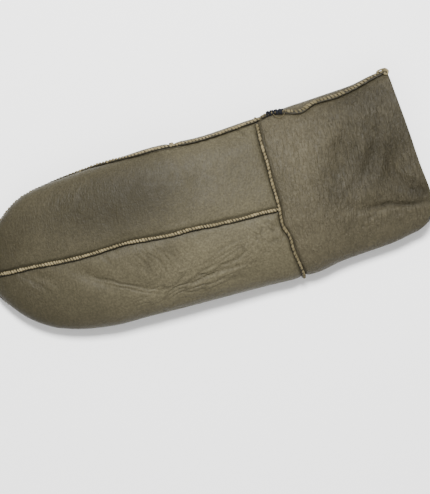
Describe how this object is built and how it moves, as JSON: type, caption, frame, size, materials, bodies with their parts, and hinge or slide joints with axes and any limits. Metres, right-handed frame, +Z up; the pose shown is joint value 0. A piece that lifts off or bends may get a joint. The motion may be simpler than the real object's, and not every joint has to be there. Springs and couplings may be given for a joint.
{
  "type": "leather mitten",
  "caption": "Olive leather mitten with a wide gauntlet cuff, panels joined by raised whipped seams, thumb sewn into the palm, lying back up.",
  "frame": {"origin": "under the middle of the mitten, on the surface that it rests on", "axes": "+X along the mitten from the fingertips towards the cuff's mouth, +Y towards the thumb side, +Z up through the back of the hand"},
  "size_m": [0.3416, 0.138, 0.0438],
  "materials": {
    "leather": "olive sheepskin leather with fine grain and a soft dull sheen, napped on the inside",
    "cuff_leather": "the same leather, slightly darker and browner",
    "seam_thread": "khaki thread whipped closely round the leather edges"
  },
  "bodies": {
    "root": {"back_thumb_side": "leather", "back_little_side": "leather", "palm_fingers": "leather", "palm_middle": "leather", "palm_heel": "leather", "cuff": "cuff_leather", "seam_back_middle": "seam_thread", "seam_edge": "seam_thread", "seam_wrist": "seam_thread", "seam_cuff_side": "seam_thread", "seam_palm_slant": "seam_thread", "seam_thumb": "seam_thread"}
  },
  "joints": []
}
